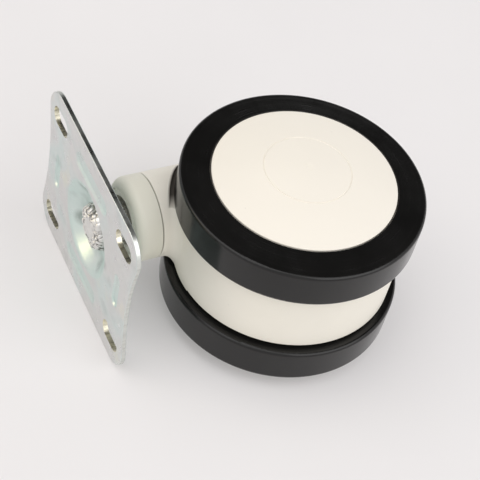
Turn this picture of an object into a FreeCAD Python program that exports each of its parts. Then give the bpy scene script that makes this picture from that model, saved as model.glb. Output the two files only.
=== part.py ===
"""Swivel caster with twin wheels: a pressed plate, a moulded neck and drum, and a wheel on each side.

Frame: +Z up along the swivel axis, origin at the middle of the plate's upper face. The wheels trail
towards -X and their axle lies along Y: the right wheel is on the -Y side, the left wheel on the +Y side.
Millimetres.
"""

import FreeCAD
import Part
import Sketcher
import math
import os
import re

Vector = FreeCAD.Vector

# Driving sizes, each written once
SIZES = {
    # Where the wheels stand
    "trail": 26.3,
    # Pressed top plate
    "plate_length": 93.0,
    "plate_width": 78.5,
    "plate_thickness": 2.0,
    "plate_corner_radius": 11.5,
    "plate_waist": 3.3,
    "plate_edge_round": 0.3,
    "slot_spacing_x": 68.0,
    "slot_spacing_y": 55.5,
    "slot_length": 15.0,
    "slot_width": 8.5,
    "dish_radius": 20.0,
    "dish_floor_radius": 13.0,
    "dish_depth": 5.0,
    "dish_round": 5.0,
    "rib_spacing_x": 66.0,
    "rib_spacing_y": 54.0,
    "rib_long": 33.0,
    "rib_short": 18.0,
    "rib_long_width": 8.4,
    "rib_short_width": 5.6,
    "rib_depth": 0.7,
    "rib_long_taper": 68.0,
    "rib_short_taper": 55.0,
    # Kingpin
    "rivet_radius": 6.5,
    "rivet_head_radius": 9.5,
    "rivet_head_height": 2.6,
    "kingpin_flange_radius": 11.0,
    "kingpin_flange_height": 3.0,
    "kingpin_shoulder_radius": 7.8,
    "kingpin_tail_radius": 5.0,
    "kingpin_tail_reach": 1.0,
    "kingpin_chamfer": 1.0,
    # Neck and collar
    "neck_radius": 17.8,
    "collar_top_depth": 16.0,
    "seam_depth": 26.8,
    "seam_bevel": 0.25,
    "seam_groove_width": 0.5,
    "seam_groove_depth": 0.8,
    "collar_lip_radius": 10.5,
    "collar_ring_radius": 13.3,
    "collar_ring_width": 0.7,
    "collar_round": 4.0,
    "collar_lip_round": 0.5,
    "collar_spigot_radius": 15.9,
    "collar_spigot_length": 3.0,
    "bush_radius": 8.0,
    "bush_depth": 36.0,
    "bush_length": 14.0,
    "circlip_pocket_radius": 9.5,
    "pocket_floor_gap": 1.5,
    # Drum
    "drum_radius": 46.5,
    "drum_half_width": 14.5,
    "drum_wall": 3.0,
    "drum_web": 4.0,
    "drum_boss_radius": 13.0,
    "drum_bevel": 0.6,
    "bevel_angle": 264.0,
    "neck_blend": 4.5,
    "notch_clearance": 1.7,
    "window_angle": 33.0,
    "window_pitch": 40.0,
    "window_count": 7.0,
    # Ball bearings
    "swivel_bore_radius": 6.0,
    "swivel_outer_radius": 14.0,
    "swivel_bearing_width": 8.0,
    "swivel_ball_radius": 2.3,
    "wheel_bore_radius": 5.0,
    "wheel_outer_radius": 13.0,
    "wheel_bearing_width": 8.0,
    "wheel_ball_radius": 2.3,
    "ring_share": 0.75,
    "shield_thickness": 0.5,
    "shield_inset": 0.3,
    # Axle and what is on it
    "spacer_radius": 6.8,
    "spacer_length": 5.5,
    "washer_radius": 6.8,
    "washer_thickness": 0.8,
    "circlip_thickness": 1.0,
    "circlip_groove": 0.5,
    "circlip_height": 1.6,
    "circlip_angle": 310.0,
    "axle_end": 1.0,
    "axle_chamfer": 0.5,
    # Wheels
    "wheel_radius": 50.0,
    "wheel_gap": 1.7,
    "tyre_width": 16.0,
    "tyre_inner_radius": 38.0,
    "tyre_wall_rise": 1.9,
    "tyre_edge_round": 1.4,
    "tyre_lip_round": 0.3,
    "rim_wall": 3.4,
    "rim_inset": 0.6,
    "core_web": 3.0,
    "core_hub_wall": 3.5,
    "core_lip": 1.2,
    "cap_gap": 0.5,
    "cap_proud": 2.0,
    "cap_crown": 5.9,
    "cap_wall": 2.2,
    "cap_sink": 0.8,
    "cap_skirt_wall": 1.6,
    "cap_skirt_length": 4.5,
    "cap_edge_round": 0.4,
    "cap_ring_radius": 17.7,
    "cap_ring_width": 0.6,
    # Clearances
    "seam_clearance": 2.7,
    "running_clearance": 0.05,
    "seat_clearance": 0.05,
    "race_clearance": 0.3,
    "shield_clearance": 0.35,
    "clip_clearance": 0.1,
    # How far a cut runs past what it cuts
    "cut_overrun": 1.0,
}

# Sizes that follow from others: the axle hangs so low that the tyres clear the collar's seam
DERIVED = {
    "axle_drop": "seam_depth + seam_clearance + wheel_radius",
}

BALL_COUNT = 7
TOLERANCE = 1e-3
# Where a sketch's points start, before its dimensions move them
GUESS_AWAY = 30.0
GUESS_SIZE = 5.0

doc = FreeCAD.newDocument("swivel_caster")
parts = []


def make_sheet():
    """Put every size in the document's sheet, one named cell each: first the driving ones."""
    sheet = doc.addObject("Spreadsheet::Sheet", "sizes")
    contents = [(name, str(value)) for name, value in SIZES.items()]
    contents += [(name, "=" + text) for name, text in DERIVED.items()]
    for row, (name, content) in enumerate(contents, start=1):
        sheet.set("A%d" % row, name)
        sheet.set("B%d" % row, content)
        sheet.setAlias("B%d" % row, name)
    doc.recompute()


def cells(text):
    """The expression text with each size's name pointing at its cell."""

    def point(match):
        word = match.group(0)
        return "sizes." + word if word in SIZES or word in DERIVED else word

    return re.sub(r"[a-z][a-z_0-9]*", point, text)


# Depths and heights that several pieces share, as expressions
PLATE_FLOOR = "(dish_depth + plate_thickness)"
SWIVEL_SEAT = "(seam_depth + collar_spigot_length)"
SWIVEL_TOP = "(%s - swivel_bearing_width)" % SWIVEL_SEAT
PIN_END = "(bush_depth + bush_length + kingpin_tail_reach)"
TYRE_IN = "(drum_half_width + wheel_gap)"
TYRE_OUT = "(%s + tyre_width)" % TYRE_IN
BEARING_IN = "(drum_half_width + spacer_length)"
BEARING_OUT = "(%s + wheel_bearing_width)" % BEARING_IN
WASHER_OUT = "(%s + washer_thickness)" % BEARING_OUT
CLIP_OUT = "(%s + circlip_thickness + clip_clearance)" % WASHER_OUT
AXLE_TIP = "(%s + axle_end)" % CLIP_OUT
CAP_SEAT = "(%s - cap_sink)" % TYRE_OUT
TYRE_LIP = "(%s + tyre_wall_rise)" % TYRE_OUT
CAP_EDGE = "(%s + cap_proud)" % TYRE_OUT
CAP_RADIUS = "(tyre_inner_radius - cap_gap)"
DOME_RADIUS = "((%s^2 + cap_crown^2) / (2 * cap_crown))" % CAP_RADIUS
DOME_MIDDLE = "(%s + cap_crown - %s)" % (CAP_EDGE, DOME_RADIUS)
RIM_BORE = "(tyre_inner_radius - rim_wall)"
NOTCH_RADIUS = "(wheel_radius + notch_clearance)"


class Frame:
    """A place in the caster: its origin as expressions and a turn about X in degrees."""

    def __init__(self, x, y, z, turn):
        self.base = (x, y, z)
        self.turn = turn

    def seat(self, item):
        """Give an object this place, bound to the sheet."""
        item.Placement = FreeCAD.Placement(Vector(), FreeCAD.Rotation(Vector(1, 0, 0), self.turn))
        for axis, text in zip("xyz", self.base):
            item.setExpression("Placement.Base." + axis, cells(text))


SWIVEL = Frame("0", "0", "0", 0)
# A wheel's own frame has +Z along the axle, outwards from the drum
RIGHT = Frame("-trail", "0", "-axle_drop", 90)
LEFT = Frame("-trail", "0", "-axle_drop", -90)


def keep(item, label, frame, solids=1):
    """Name a finished sub-part, place it and list it for writing."""
    item.Label = label
    frame.seat(item)
    parts.append((item, solids))
    return item


def new_body(label):
    """An empty body for one sub-part."""
    return doc.addObject("PartDesign::Body", label + "_body")


def new_sketch(body, name, role, offset="0"):
    """A sketch on one of its body's origin planes, lifted along the plane's normal."""
    plane = next(item for item in body.Origin.OriginFeatures if item.Role == role)
    sketch = body.newObject("Sketcher::SketchObject", name)
    sketch.AttachmentSupport = [(plane, "")]
    sketch.MapMode = "FlatFace"
    sketch.setExpression("AttachmentOffset.Base.z", cells(offset))
    return sketch


def drive(sketch, kind, place, text, start):
    """Add one dimension to a sketch and bind it to the sheet."""
    index = sketch.addConstraint(Sketcher.Constraint(kind, *place, start))
    sketch.setExpression("Constraints[%d]" % index, cells(text))


def polygon(sketch, corners):
    """A closed outline of straight lines, each corner held by two expressions."""
    first = sketch.GeometryCount
    count = len(corners)
    starts = []
    for step in range(count):
        angle = 2 * math.pi * step / count
        starts.append(Vector(GUESS_AWAY + GUESS_SIZE * math.cos(angle), GUESS_SIZE * math.sin(angle), 0))
    for step in range(count):
        sketch.addGeometry(Part.LineSegment(starts[step], starts[(step + 1) % count]))
    for step in range(count):
        joint = (first + step, 2, first + (step + 1) % count, 1)
        sketch.addConstraint(Sketcher.Constraint("Coincident", *joint))
    for step, (across, along) in enumerate(corners):
        drive(sketch, "DistanceX", (first + step, 1), across, starts[step].x)
        drive(sketch, "DistanceY", (first + step, 1), along, starts[step].y)


def circle(sketch, across, along, radius):
    """A circle held by its middle and radius."""
    middle = Vector(GUESS_SIZE, GUESS_SIZE, 0)
    index = sketch.addGeometry(Part.Circle(middle, Vector(0, 0, 1), GUESS_SIZE))
    drive(sketch, "DistanceX", (index, 3), across, middle.x)
    drive(sketch, "DistanceY", (index, 3), along, middle.y)
    drive(sketch, "Radius", (index,), radius, GUESS_SIZE)


def revolve(body, sketch, name, kind="Revolution", axis="V_Axis"):
    """Turn a sketch about one of its axes, adding or cutting."""
    feature = body.newObject("PartDesign::" + kind, name)
    feature.Profile = sketch
    feature.ReferenceAxis = (sketch, [axis])
    feature.Angle = 360
    body.Tip = feature
    return feature


def turned(label, frame, corners, angle=None):
    """A turned piece: a closed profile of (radius, height) corners about its frame's Z axis."""
    body = new_body(label)
    sketch = new_sketch(body, label + "_profile", "XZ_Plane")
    polygon(sketch, corners)
    feature = revolve(body, sketch, label + "_turn")
    if angle:
        feature.setExpression("Angle", cells(angle))
    return keep(body, label, frame)


def ring_cut(body, name, radius, height, section):
    """Cut a round groove of circular section into a turned piece."""
    sketch = new_sketch(body, name + "_section", "XZ_Plane")
    circle(sketch, radius, height, section)
    return revolve(body, sketch, name, "Groove")


def round_edges(body, name, radius, chosen):
    """Round the edges of the body's last feature that the test chooses."""
    doc.recompute()
    base = body.Tip
    names = ["Edge%d" % number for number, edge in enumerate(base.Shape.Edges, start=1) if chosen(edge)]
    feature = body.newObject("PartDesign::Fillet", name)
    feature.Base = (base, names)
    feature.setExpression("Radius", cells(radius))
    body.Tip = feature
    return feature


def is_ring(edge, radius, height):
    """Whether an edge is the circle of that radius and height about the Z axis."""
    if edge.Degenerated or not isinstance(edge.Curve, Part.Circle):
        return False
    middle = edge.Curve.Center
    near = math.hypot(middle.x, middle.y) < TOLERANCE
    return near and abs(edge.Curve.Radius - radius) < TOLERANCE and abs(middle.z - height) < TOLERANCE


def pad(body, sketch, name, length, down=False, middle=False):
    """Raise a sketch to a length, upwards, downwards or half to each side."""
    feature = body.newObject("PartDesign::Pad", name)
    feature.Profile = sketch
    feature.setExpression("Length", cells(length))
    feature.Reversed = down
    feature.Midplane = middle
    body.Tip = feature
    return feature


def pocket(body, sketch, name, length):
    """Cut a sketch down to a length."""
    feature = body.newObject("PartDesign::Pocket", name)
    feature.Profile = sketch
    feature.setExpression("Length", cells(length))
    body.Tip = feature
    return feature


def obround(sketch, middle, length, width, along_x=True):
    """A slot outline: two half circles joined by lines tangent to them."""
    first = sketch.GeometryCount
    reach = GUESS_SIZE
    radius = GUESS_SIZE / 2
    ahead = Vector(1, 0, 0) if along_x else Vector(0, 1, 0)
    aside = Vector(0, 1, 0) if along_x else Vector(-1, 0, 0)
    centre = Vector(GUESS_AWAY, GUESS_AWAY, 0)
    tilt = 0 if along_x else math.pi / 2
    far = Part.Circle(centre + ahead * reach, Vector(0, 0, 1), radius)
    near = Part.Circle(centre - ahead * reach, Vector(0, 0, 1), radius)
    sketch.addGeometry(Part.ArcOfCircle(far, tilt - math.pi / 2, tilt + math.pi / 2))
    sketch.addGeometry(Part.LineSegment(far.Center + aside * radius, near.Center + aside * radius))
    sketch.addGeometry(Part.ArcOfCircle(near, tilt + math.pi / 2, tilt + 3 * math.pi / 2))
    sketch.addGeometry(Part.LineSegment(near.Center - aside * radius, far.Center - aside * radius))
    for step in range(4):
        joint = (first + step, 2, first + (step + 1) % 4, 1)
        sketch.addConstraint(Sketcher.Constraint("Tangent", *joint))
    for arc, sign, start in ((first, "+", far), (first + 2, "-", near)):
        offset = "%s (%s - %s) / 2" % (sign, length, width)
        across = middle[0] + (offset if along_x else "")
        along = middle[1] + ("" if along_x else offset)
        drive(sketch, "DistanceX", (arc, 3), across, start.Center.x)
        drive(sketch, "DistanceY", (arc, 3), along, start.Center.y)
        drive(sketch, "Radius", (arc,), "%s / 2" % width, radius)


def plate_outline(sketch):
    """The plate's edge: straight long sides, round corners and short sides that curve in to a waist."""
    corner = SIZES["plate_corner_radius"]
    reach_x = SIZES["plate_length"] / 2 - corner
    reach_y = SIZES["plate_width"] / 2 - corner
    waist = SIZES["plate_waist"]
    sweep = ((corner - waist) ** 2 + reach_y**2 - corner**2) / (2 * waist)
    sweep_text = (
        "((plate_corner_radius - plate_waist)^2 + (plate_width / 2 - plate_corner_radius)^2"
        " - plate_corner_radius^2) / (2 * plate_waist)"
    )
    sweep_x = reach_x + corner - waist + sweep
    lean = math.atan2(reach_y, sweep_x - reach_x)
    up = Vector(0, 0, 1)

    def arc(x, y, radius, start, end):
        return Part.ArcOfCircle(Part.Circle(Vector(x, y, 0), up, radius), start, end)

    half = math.pi / 2
    shapes = [
        arc(reach_x, reach_y, corner, -lean, half),
        Part.LineSegment(Vector(reach_x, reach_y + corner, 0), Vector(-reach_x, reach_y + corner, 0)),
        arc(-reach_x, reach_y, corner, half, math.pi + lean),
        arc(-sweep_x, 0, sweep, -lean, lean),
        arc(-reach_x, -reach_y, corner, math.pi - lean, 3 * half),
        Part.LineSegment(Vector(-reach_x, -reach_y - corner, 0), Vector(reach_x, -reach_y - corner, 0)),
        arc(reach_x, -reach_y, corner, -half, lean),
        arc(sweep_x, 0, sweep, math.pi - lean, math.pi + lean),
    ]
    for shape in shapes:
        sketch.addGeometry(shape)
    joints = ((0, 2, 1, 1), (1, 2, 2, 1), (2, 2, 3, 2), (3, 1, 4, 1), (4, 2, 5, 1), (5, 2, 6, 1))
    for joint in joints + ((6, 2, 7, 2), (7, 1, 0, 1)):
        sketch.addConstraint(Sketcher.Constraint("Tangent", *joint))
    for index, sign_x, sign_y in ((0, 1, 1), (2, -1, 1), (4, -1, -1), (6, 1, -1)):
        across = "%d * (plate_length / 2 - plate_corner_radius)" % sign_x
        along = "%d * (plate_width / 2 - plate_corner_radius)" % sign_y
        drive(sketch, "DistanceX", (index, 3), across, sign_x * reach_x)
        drive(sketch, "DistanceY", (index, 3), along, sign_y * reach_y)
        drive(sketch, "Radius", (index,), "plate_corner_radius", corner)
    for index in (3, 7):
        drive(sketch, "Radius", (index,), sweep_text, sweep)


def press_ribs(body, kind, outlines):
    """Press a pair of ribs down into the plate: hollow above, bulge below, with sloping walls."""
    for name, offset, feature in (("hollows", "0", pocket), ("bulges", "-plate_thickness", pad)):
        sketch = new_sketch(body, "%s_%s_outline" % (kind, name), "XY_Plane", offset)
        for middle, along_x in outlines:
            obround(sketch, middle, kind, kind + "_width", along_x)
        rib = feature(body, sketch, "%s_%s" % (kind, name), "rib_depth")
        rib.setExpression("TaperAngle", cells("-%s_taper" % kind))
        if feature is pad:
            rib.Reversed = True


def make_top_plate():
    """Pressed plate: outline, slots, ribs pressed down, and a dish that takes the kingpin's rivet head."""
    body = new_body("top_plate")
    outline = new_sketch(body, "plate_outline", "XY_Plane")
    plate_outline(outline)
    pad(body, outline, "plate_sheet", "plate_thickness", down=True)
    top = 0.0
    low = -SIZES["plate_thickness"]
    round_edges(
        body,
        "plate_edges",
        "plate_edge_round",
        lambda edge: all(abs(v.Z - top) < TOLERANCE for v in edge.Vertexes)
        or all(abs(v.Z - low) < TOLERANCE for v in edge.Vertexes),
    )
    bulge = new_sketch(body, "dish_bulge_profile", "XZ_Plane")
    under = "-plate_thickness"
    floor = "-%s" % PLATE_FLOOR
    polygon(bulge, [("0", under), ("dish_radius", under), ("dish_floor_radius", floor), ("0", floor)])
    revolve(body, bulge, "dish_bulge")
    hollow = new_sketch(body, "dish_hollow_profile", "XZ_Plane")
    depth = "-dish_depth"
    over = "cut_overrun"
    rim = "dish_radius"
    polygon(hollow, [("0", over), (rim, over), (rim, "0"), ("dish_floor_radius", depth), ("0", depth)])
    revolve(body, hollow, "dish_hollow", "Groove")
    soft = (
        (SIZES["dish_radius"], top),
        (SIZES["dish_radius"], low),
        (SIZES["dish_floor_radius"], -SIZES["dish_depth"]),
        (SIZES["dish_floor_radius"], low - SIZES["dish_depth"]),
    )
    round_edges(body, "dish_rounds", "dish_round", lambda edge: any(is_ring(edge, *ring) for ring in soft))
    press_ribs(body, "rib_long", [(("0", sign + " rib_spacing_y / 2"), True) for sign in "+-"])
    press_ribs(body, "rib_short", [((sign + " rib_spacing_x / 2", "0"), False) for sign in "+-"])
    slots = new_sketch(body, "slot_outlines", "XY_Plane")
    for across in "+-":
        for along in "+-":
            middle = (across + " slot_spacing_x / 2", along + " slot_spacing_y / 2")
            obround(slots, middle, "slot_length", "slot_width")
    pocket(body, slots, "slots", "plate_thickness + rib_depth")
    bore = new_sketch(body, "rivet_hole_outline", "XY_Plane")
    circle(bore, "0", "0", "rivet_radius")
    pocket(body, bore, "rivet_hole", "%s + cut_overrun" % PLATE_FLOOR)
    keep(body, "top_plate", SWIVEL)


def make_kingpin():
    """Kingpin: peened head, neck through the dish, flange, bearing seat, circlip groove and tail."""
    head = "-(dish_depth - rivet_head_height)"
    dish = "-dish_depth"
    under = "-%s" % PLATE_FLOOR
    flange = "-(%s + kingpin_flange_height)" % PLATE_FLOOR
    groove_top = "-%s" % SWIVEL_SEAT
    groove_low = "-(%s + circlip_thickness + clip_clearance)" % SWIVEL_SEAT
    seat_end = "-(%s + circlip_thickness + clip_clearance + kingpin_chamfer)" % SWIVEL_SEAT
    taper_end = "-(%s + circlip_thickness + clip_clearance + 2 * kingpin_chamfer)" % SWIVEL_SEAT
    turned(
        "kingpin",
        SWIVEL,
        [
            ("0", head),
            ("rivet_head_radius - 2 * kingpin_chamfer", head),
            ("rivet_head_radius", "-(dish_depth - kingpin_chamfer)"),
            ("rivet_head_radius", dish),
            ("rivet_radius", dish),
            ("rivet_radius", under),
            ("kingpin_flange_radius", under),
            ("kingpin_flange_radius", flange),
            ("kingpin_shoulder_radius", flange),
            ("kingpin_shoulder_radius", "-%s" % SWIVEL_TOP),
            ("swivel_bore_radius", "-%s" % SWIVEL_TOP),
            ("swivel_bore_radius", groove_top),
            ("swivel_bore_radius - circlip_groove", groove_top),
            ("swivel_bore_radius - circlip_groove", groove_low),
            ("swivel_bore_radius", groove_low),
            ("swivel_bore_radius", seat_end),
            ("kingpin_tail_radius", taper_end),
            ("kingpin_tail_radius", "-(%s - kingpin_chamfer)" % PIN_END),
            ("kingpin_tail_radius - kingpin_chamfer", "-%s" % PIN_END),
            ("0", "-%s" % PIN_END),
        ],
    )


def circlip(label, frame, shaft, near, outwards):
    """A snap ring in its groove: open over part of its turn."""
    inner = "%s - circlip_groove + clip_clearance" % shaft
    outer = "%s - circlip_groove + clip_clearance + circlip_height" % shaft
    far = "%s %s circlip_thickness" % (near, outwards)
    corners = [(inner, near), (outer, near), (outer, far), (inner, far)]
    return turned(label, frame, corners, "circlip_angle")


def ball_bearing(prefix, frame, kind, middle):
    """A shielded ball bearing: two rings with race grooves, a set of balls and a pair of shields."""
    bore = kind + "_bore_radius"
    outer = kind + "_outer_radius"
    width = kind + "_bearing_width"
    ball = kind + "_ball_radius"
    pitch = "((%s + %s) / 2)" % (bore, outer)
    inner_land = "(%s - ring_share * %s)" % (pitch, ball)
    outer_land = "(%s + ring_share * %s)" % (pitch, ball)
    low = "%s - %s / 2" % (middle, width)
    high = "%s + %s / 2" % (middle, width)
    inner_ring = turned(
        prefix + "_inner_ring", frame, [(bore, low), (inner_land, low), (inner_land, high), (bore, high)]
    )
    ring_cut(inner_ring, prefix + "_inner_race", pitch, middle, "%s + race_clearance" % ball)
    outer_ring = turned(
        prefix + "_outer_ring", frame, [(outer_land, low), (outer, low), (outer, high), (outer_land, high)]
    )
    ring_cut(outer_ring, prefix + "_outer_race", pitch, middle, "%s + running_clearance" % ball)
    balls = doc.addObject("Part::Compound", prefix + "_ball_set")
    for number in range(BALL_COUNT):
        sphere = doc.addObject("Part::Sphere", "%s_ball_%d" % (prefix, number))
        sphere.setExpression("Radius", cells(ball))
        turn = "%s * %%s(360 deg * %d / %d)" % (pitch, number, BALL_COUNT)
        sphere.setExpression("Placement.Base.x", cells(turn % "cos"))
        sphere.setExpression("Placement.Base.y", cells(turn % "sin"))
        sphere.setExpression("Placement.Base.z", cells(middle))
        balls.Links = balls.Links + [sphere]
    keep(balls, prefix + "_balls", frame, BALL_COUNT)
    shields = new_body(prefix + "_shields")
    shields.AllowCompound = True
    sketch = new_sketch(shields, prefix + "_shield_profiles", "XZ_Plane")
    for face, sign in ((low, "+"), (high, "-")):
        near = "%s %s shield_inset" % (face, sign)
        far = "%s %s (shield_inset + shield_thickness)" % (face, sign)
        inside = "%s + shield_clearance" % inner_land
        polygon(sketch, [(inside, near), (outer_land, near), (outer_land, far), (inside, far)])
    revolve(shields, sketch, prefix + "_shield_turn")
    keep(shields, prefix + "_shields", frame, 2)


def make_neck_collar():
    """Moulded ring over the swivel bearing: round rim, fine ring in its end, lip, and spigot in the neck."""
    top = "-collar_top_depth"
    seam = "-seam_depth"
    groove_top = "-(seam_depth - seam_groove_width)"
    seat = "-%s" % SWIVEL_SEAT
    body = turned(
        "neck_collar",
        SWIVEL,
        [
            ("collar_lip_radius", top),
            ("neck_radius", top),
            ("neck_radius", groove_top),
            ("neck_radius - seam_groove_depth", groove_top),
            ("neck_radius - seam_groove_depth", seam),
            ("collar_spigot_radius", seam),
            ("collar_spigot_radius", seat),
            ("swivel_outer_radius", seat),
            ("swivel_outer_radius", "-%s" % SWIVEL_TOP),
            ("collar_lip_radius", "-%s" % SWIVEL_TOP),
        ],
    )
    height = -SIZES["collar_top_depth"]
    rim = SIZES["neck_radius"]
    round_edges(body, "collar_rim", "collar_round", lambda edge: is_ring(edge, rim, height))
    lip = SIZES["collar_lip_radius"]
    round_edges(body, "collar_lip", "collar_lip_round", lambda edge: is_ring(edge, lip, height))
    ring_cut(body, "collar_ring", "collar_ring_radius", top, "collar_ring_width / 2")


def make_fork_housing():
    """Neck and drum in one moulding: blended together, notched for the tyres, ribbed and webbed inside."""
    body = new_body("fork_housing")
    drum = new_sketch(body, "drum_outline", "XZ_Plane")
    circle(drum, "-trail", "-axle_drop", "drum_radius")
    pad(body, drum, "drum_blank", "2 * drum_half_width", middle=True)
    neck = new_sketch(body, "neck_outline", "XY_Plane", "-seam_depth")
    circle(neck, "0", "0", "neck_radius")
    pad(body, neck, "neck_blank", "axle_drop - seam_depth", down=True)
    make_tyre_notches(body)

    def on_both(point):
        """Whether a point lies on the drum's rim and on the neck's wall."""
        from_axle = math.hypot(point.x + SIZES["trail"], point.z + doc.sizes.axle_drop)
        from_swivel = math.hypot(point.x, point.y)
        on_drum = abs(from_axle - SIZES["drum_radius"]) < TOLERANCE
        return on_drum and abs(from_swivel - SIZES["neck_radius"]) < TOLERANCE

    def meets_drum(edge):
        """The edges behind the swivel axis where the neck runs into the drum."""
        ends = [edge.valueAt(place) for place in edge.ParameterRange]
        return all(on_both(end) and end.x < 0 for end in ends)

    round_edges(body, "neck_foot", "neck_blend", meets_drum)
    bore = new_sketch(body, "pin_bore_profile", "XZ_Plane")
    mouth = "-(seam_depth - collar_spigot_length)"
    seat = "-%s" % SWIVEL_SEAT
    bush_low = "-(bush_depth + bush_length)"
    floor = "-(%s + pocket_floor_gap)" % PIN_END
    spigot = "collar_spigot_radius + seat_clearance"
    tail = "kingpin_tail_radius + pocket_floor_gap"
    polygon(
        bore,
        [
            ("0", mouth),
            (spigot, mouth),
            (spigot, seat),
            ("circlip_pocket_radius", seat),
            ("circlip_pocket_radius", "-bush_depth"),
            ("bush_radius", "-bush_depth"),
            ("bush_radius", bush_low),
            (tail, bush_low),
            (tail, floor),
            ("0", floor),
        ],
    )
    revolve(body, bore, "pin_bore", "Groove")
    seam = new_sketch(body, "seam_bevel_profile", "XZ_Plane")
    inside = "neck_radius - seam_bevel"
    outside = "neck_radius + seam_bevel"
    low = "-(seam_depth + 2 * seam_bevel)"
    polygon(seam, [(inside, mouth), (outside, mouth), (outside, low), (inside, "-seam_depth")])
    revolve(body, seam, "seam_bevel", "Groove")
    make_drum_bevels(body)
    make_drum_windows(body)
    axle_hole = new_sketch(body, "axle_hole_outline", "XZ_Plane", "drum_half_width + cut_overrun")
    circle(axle_hole, "-trail", "-axle_drop", "wheel_bore_radius")
    pocket(body, axle_hole, "axle_hole", "2 * (drum_half_width + cut_overrun)")
    keep(body, "fork_housing", SWIVEL)


def axle_sketch(body, name):
    """A level sketch at the axle's height, with the axle as its turning axis."""
    sketch = new_sketch(body, name, "XY_Plane", "-axle_drop")
    start = Vector(-GUESS_SIZE, -GUESS_SIZE, 0)
    end = Vector(-GUESS_SIZE, GUESS_SIZE, 0)
    axis = sketch.addGeometry(Part.LineSegment(start, end), True)
    sketch.addConstraint(Sketcher.Constraint("Vertical", axis))
    drive(sketch, "DistanceX", (axis, 1), "-trail", start.x)
    drive(sketch, "DistanceY", (axis, 1), "-drum_half_width", start.y)
    drive(sketch, "DistanceY", (axis, 2), "drum_half_width", end.y)
    return sketch


def make_tyre_notches(body):
    """Trim the drum to its width and clear the neck's foot for the tyres, in one turn about the axle."""
    sketch = axle_sketch(body, "notch_profiles")
    reach = "-trail + %s" % NOTCH_RADIUS
    for sign in "+-":
        side = "%s drum_half_width" % sign
        far = "%s (neck_radius + cut_overrun)" % sign
        polygon(sketch, [("-trail", side), (reach, side), (reach, far), ("-trail", far)])
    revolve(body, sketch, "tyre_notches", "Groove", "Axis0")


def make_drum_bevels(body):
    """Bevel the drum's two edges, from one side of the neck's foot round below to the other side."""
    sketch = axle_sketch(body, "bevel_profiles")
    inside = "-trail + drum_radius - 2 * drum_bevel"
    outside = "-trail + drum_radius + drum_bevel"
    for sign in "+-":
        over = "%s (drum_half_width + drum_bevel)" % sign
        under = "%s (drum_half_width - 2 * drum_bevel)" % sign
        polygon(sketch, [(inside, over), (outside, under), (outside, over)])
    bevels = revolve(body, sketch, "drum_bevels", "Groove", "Axis0")
    bevels.setExpression("Angle", cells("bevel_angle"))


def make_drum_windows(body):
    """Hollow the drum from both ends, leaving its wall, a middle web, an axle boss and radial ribs."""
    sketch = axle_sketch(body, "window_profiles")
    inner = "-trail + drum_boss_radius"
    outer = "-trail + drum_radius - drum_wall"
    for sign in "+-":
        web = "%s drum_web / 2" % sign
        mouth = "%s (drum_half_width + cut_overrun)" % sign
        polygon(sketch, [(inner, web), (outer, web), (outer, mouth), (inner, mouth)])
    windows = revolve(body, sketch, "windows", "Groove", "Axis0")
    windows.setExpression("Angle", cells("window_angle"))
    windows.Midplane = True
    doc.recompute()
    pattern = body.newObject("PartDesign::PolarPattern", "window_ring")
    pattern.Originals = [windows]
    pattern.Axis = (sketch, ["Axis0"])
    pattern.setExpression("Angle", cells("window_pitch * (window_count - 1)"))
    pattern.setExpression("Occurrences", cells("window_count"))
    body.Tip = pattern


def make_axle():
    """Axle: plain shaft with a snap ring groove near each end."""
    shaft = "wheel_bore_radius"
    groove = "wheel_bore_radius - circlip_groove"
    outer_half = [
        (shaft, WASHER_OUT),
        (groove, WASHER_OUT),
        (groove, CLIP_OUT),
        (shaft, CLIP_OUT),
        (shaft, "%s - axle_chamfer" % AXLE_TIP),
        (shaft + " - axle_chamfer", AXLE_TIP),
        ("0", AXLE_TIP),
    ]
    other_half = [(radius, "-(%s)" % height) for radius, height in reversed(outer_half)]
    turned("axle", RIGHT, other_half + outer_half)


def make_wheel(side, frame):
    """One wheel with its bearing, and what holds it on the axle."""
    shaft = "wheel_bore_radius"
    for name, outer, low, high in (
        ("_axle_spacer", "spacer_radius", "drum_half_width", BEARING_IN),
        ("_axle_washer", "washer_radius", BEARING_OUT, WASHER_OUT),
    ):
        turned(side + name, frame, [(shaft, low), (outer, low), (outer, high), (shaft, high)])
    ball_bearing(side + "_bearing", frame, "wheel", "(%s + wheel_bearing_width / 2)" % BEARING_IN)
    circlip(side + "_axle_circlip", frame, shaft, "%s + clip_clearance / 2" % WASHER_OUT, "+")
    make_tyre(side, frame)
    make_wheel_core(side, frame)
    make_hub_cap(side, frame)


def make_tyre(side, frame):
    """Tyre: a band with a flat inner side, an outer side that rises to the cap, and round tread edges."""
    tread = "wheel_radius"
    seat = "tyre_inner_radius"
    corners = [(seat, TYRE_IN), (tread, TYRE_IN), (tread, TYRE_OUT), (seat, TYRE_LIP)]
    body = turned(side + "_tyre", frame, corners)
    near = SIZES["drum_half_width"] + SIZES["wheel_gap"]
    far = near + SIZES["tyre_width"]
    lip = far + SIZES["tyre_wall_rise"]
    radius = SIZES["wheel_radius"]
    seat_radius = SIZES["tyre_inner_radius"]
    round_edges(
        body,
        side + "_tread_edges",
        "tyre_edge_round",
        lambda edge: is_ring(edge, radius, near) or is_ring(edge, radius, far),
    )
    round_edges(body, side + "_tyre_lip", "tyre_lip_round", lambda edge: is_ring(edge, seat_radius, lip))


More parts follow.
